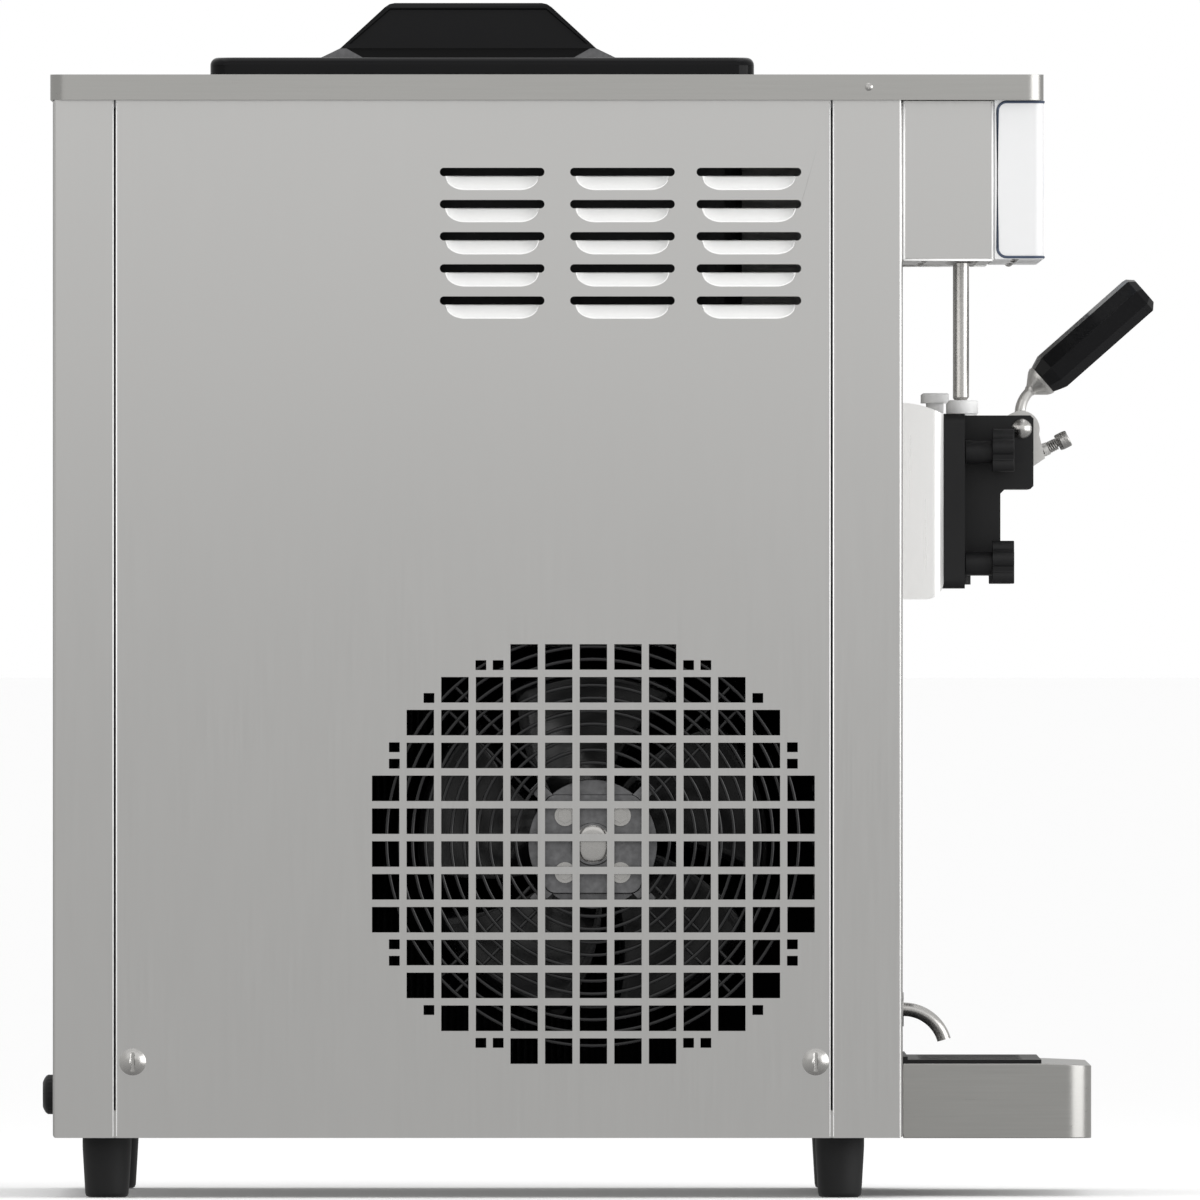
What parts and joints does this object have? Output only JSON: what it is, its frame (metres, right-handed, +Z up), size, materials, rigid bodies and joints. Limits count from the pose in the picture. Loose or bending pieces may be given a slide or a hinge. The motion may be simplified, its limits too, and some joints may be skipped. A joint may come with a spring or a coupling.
{
  "type": "soft-serve ice cream maker",
  "caption": "Counter-top soft-serve ice cream maker: steel cabinet, lidded hoppers, freezing cylinders, lever-pulled taps, drip tray and a side-blown cooling fan.",
  "frame": {"origin": "bottom centre of the whole machine's box, on the plane the feet stand on", "axes": "+Z up; the taps and the front face -Y; +X is the right-hand side as seen from the front turned to look along +Y"},
  "size_m": [0.542, 0.7254, 0.7785],
  "materials": {
    "brushed_steel": "satin brushed sheet",
    "cover_steel": "long-grain brushed sheet",
    "polished_steel": "polished",
    "satin_shroud": "bright satin",
    "frame_metal": "cast and mill finish",
    "black_gloss": "gloss moulded",
    "black_matt": "matt moulded",
    "white_bezel": "satin moulded",
    "white_plastic": "food-grade moulded",
    "key_plastic": "satin moulded",
    "display_glass": "dark window",
    "rubber": "matt",
    "seal_rubber": "matt silicone",
    "black_metal": "gloss black paint",
    "fin_metal": "thin fins",
    "copper": "bare copper tube"
  },
  "bodies": {
    "cabinet": {"base_pan": "brushed_steel", "frame": "frame_metal", "side_panel_left": "brushed_steel", "side_panel_right": "brushed_steel", "rear_panel": "brushed_steel", "front_panel": "brushed_steel", "top_cover": "cover_steel", "feet": "rubber", "panel_screws": "polished_steel", "cover_screws": "polished_steel", "control_box": "brushed_steel", "control_bezel": "white_bezel", "display_board": "display_glass", "lift_switches": "black_matt", "hoppers": "satin_shroud", "feed_tubes": "white_plastic", "freezing_cylinders": "satin_shroud", "barrel_shroud": "satin_shroud", "gear_motors": "frame_metal", "dispensing_head": "black_matt", "head_seals": "seal_rubber", "pivot_pin": "polished_steel", "fan_guard": "black_metal", "fan_motor": "frame_metal", "condenser": "fin_metal", "compressor": "black_metal", "refrigerant_pipes": "copper", "drip_spout": "polished_steel", "cable_gland": "black_matt"},
    "hopper_lid_left": {"hopper_lid_left": "black_gloss"},
    "hopper_lid_right": {"hopper_lid_right": "black_gloss"},
    "beater_left": {"beater_left": "white_plastic"},
    "beater_right": {"beater_right": "white_plastic"},
    "valve_left": {"valve_left": "white_plastic", "push_rod_left": "polished_steel"},
    "lever_left": {"lever_left": "polished_steel", "grip_left": "black_gloss"},
    "flow_screw_left": {"flow_screw_left": "polished_steel"},
    "valve_centre": {"valve_centre": "white_plastic", "push_rod_centre": "polished_steel"},
    "lever_centre": {"lever_centre": "polished_steel", "grip_centre": "black_gloss"},
    "flow_screw_centre": {"flow_screw_centre": "polished_steel"},
    "valve_right": {"valve_right": "white_plastic", "push_rod_right": "polished_steel"},
    "lever_right": {"lever_right": "polished_steel", "grip_right": "black_gloss"},
    "flow_screw_right": {"flow_screw_right": "polished_steel"},
    "star_knob_upper_left": {"star_knob_upper_left": "black_matt"},
    "star_knob_upper_right": {"star_knob_upper_right": "black_matt"},
    "star_knob_lower_left": {"star_knob_lower_left": "black_matt"},
    "star_knob_lower_right": {"star_knob_lower_right": "black_matt"},
    "vent_plug_left": {"vent_plug_left": "white_plastic"},
    "vent_plug_right": {"vent_plug_right": "white_plastic"},
    "fan_blade": {"fan_blade": "frame_metal"},
    "drip_tray": {"drip_tray": "cover_steel"},
    "drip_grate": {"drip_grate": "black_matt"},
    "button_power": {"button_power": "key_plastic"},
    "button_wash": {"button_wash": "key_plastic"},
    "button_run": {"button_run": "key_plastic"}
  },
  "joints": [
    {"name": "hopper_lid_left_lift", "type": "slide", "parent": "cabinet", "child": "hopper_lid_left", "axis": [0, 0, 1], "range_m": [0, 0.12]},
    {"name": "hopper_lid_right_lift", "type": "slide", "parent": "cabinet", "child": "hopper_lid_right", "axis": [0, 0, 1], "range_m": [0, 0.12]},
    {"name": "beater_left_spin", "type": "hinge", "parent": "cabinet", "child": "beater_left", "pos_m": [-0.082, -0.08, 0.449], "axis": [0, 1, 0], "continuous": true},
    {"name": "beater_right_spin", "type": "hinge", "parent": "cabinet", "child": "beater_right", "pos_m": [0.082, -0.08, 0.449], "axis": [0, 1, 0], "continuous": true},
    {"name": "lever_left_pull", "type": "hinge", "parent": "cabinet", "child": "lever_left", "pos_m": [-0.082, -0.276, 0.5005], "axis": [1, 0, 0], "range_deg": [0, 35], "stiffness_Nm_per_rad": 0.25, "springref_deg": -34.38},
    {"name": "valve_left_lift", "type": "slide", "parent": "cabinet", "child": "valve_left", "axis": [0, 0, 1], "range_m": [0, 0.023]},
    {"name": "flow_screw_left_turn", "type": "hinge", "parent": "lever_left", "child": "flow_screw_left", "pos_m": [-0.082, -0.2905, 0.4865], "axis": [0, -0.8942, 0.4478], "continuous": true},
    {"name": "lever_centre_pull", "type": "hinge", "parent": "cabinet", "child": "lever_centre", "pos_m": [0, -0.276, 0.5005], "axis": [1, 0, 0], "range_deg": [0, 35], "stiffness_Nm_per_rad": 0.25, "springref_deg": -34.38},
    {"name": "valve_centre_lift", "type": "slide", "parent": "cabinet", "child": "valve_centre", "axis": [0, 0, 1], "range_m": [0, 0.023]},
    {"name": "flow_screw_centre_turn", "type": "hinge", "parent": "lever_centre", "child": "flow_screw_centre", "pos_m": [0, -0.2905, 0.4865], "axis": [0, -0.8942, 0.4478], "continuous": true},
    {"name": "lever_right_pull", "type": "hinge", "parent": "cabinet", "child": "lever_right", "pos_m": [0.082, -0.276, 0.5005], "axis": [1, 0, 0], "range_deg": [0, 35], "stiffness_Nm_per_rad": 0.25, "springref_deg": -34.38},
    {"name": "valve_right_lift", "type": "slide", "parent": "cabinet", "child": "valve_right", "axis": [0, 0, 1], "range_m": [0, 0.023]},
    {"name": "flow_screw_right_turn", "type": "hinge", "parent": "lever_right", "child": "flow_screw_right", "pos_m": [0.082, -0.2905, 0.4865], "axis": [0, -0.8942, 0.4478], "continuous": true},
    {"name": "star_knob_upper_left_turn", "type": "hinge", "parent": "cabinet", "child": "star_knob_upper_left", "pos_m": [-0.134, -0.25, 0.4854], "axis": [0, -1, 0], "continuous": true},
    {"name": "star_knob_upper_right_turn", "type": "hinge", "parent": "cabinet", "child": "star_knob_upper_right", "pos_m": [0.134, -0.25, 0.4854], "axis": [0, -1, 0], "continuous": true},
    {"name": "star_knob_lower_left_turn", "type": "hinge", "parent": "cabinet", "child": "star_knob_lower_left", "pos_m": [-0.134, -0.25, 0.4124], "axis": [0, -1, 0], "continuous": true},
    {"name": "star_knob_lower_right_turn", "type": "hinge", "parent": "cabinet", "child": "star_knob_lower_right", "pos_m": [0.134, -0.25, 0.4124], "axis": [0, -1, 0], "continuous": true},
    {"name": "vent_plug_left_lift", "type": "slide", "parent": "cabinet", "child": "vent_plug_left", "axis": [0, 0, 1], "range_m": [0, 0.02]},
    {"name": "vent_plug_right_lift", "type": "slide", "parent": "cabinet", "child": "vent_plug_right", "axis": [0, 0, 1], "range_m": [0, 0.02]},
    {"name": "fan_spin", "type": "hinge", "parent": "cabinet", "child": "fan_blade", "pos_m": [-0.2, 0.0042, 0.23], "axis": [1, 0, 0], "continuous": true},
    {"name": "drip_tray_slide", "type": "slide", "parent": "cabinet", "child": "drip_tray", "axis": [0, -1, 0], "range_m": [0, 0.12]},
    {"name": "drip_grate_lift", "type": "slide", "parent": "drip_tray", "child": "drip_grate", "axis": [0, 0, 1], "range_m": [0, 0.008]},
    {"name": "button_power_press", "type": "slide", "parent": "cabinet", "child": "button_power", "axis": [0, 1, 0], "range_m": [0, 0.0012], "stiffness_N_per_m": 400, "springref_m": -0.002},
    {"name": "button_wash_press", "type": "slide", "parent": "cabinet", "child": "button_wash", "axis": [0, 1, 0], "range_m": [0, 0.0012], "stiffness_N_per_m": 400, "springref_m": -0.002},
    {"name": "button_run_press", "type": "slide", "parent": "cabinet", "child": "button_run", "axis": [0, 1, 0], "range_m": [0, 0.0012], "stiffness_N_per_m": 400, "springref_m": -0.002}
  ],
  "couplings": [
    {"joint": "valve_left_lift", "follows": "lever_left_pull", "m_per_rad": 0.03751},
    {"joint": "valve_centre_lift", "follows": "lever_centre_pull", "m_per_rad": 0.03751},
    {"joint": "valve_right_lift", "follows": "lever_right_pull", "m_per_rad": 0.03751}
  ]
}
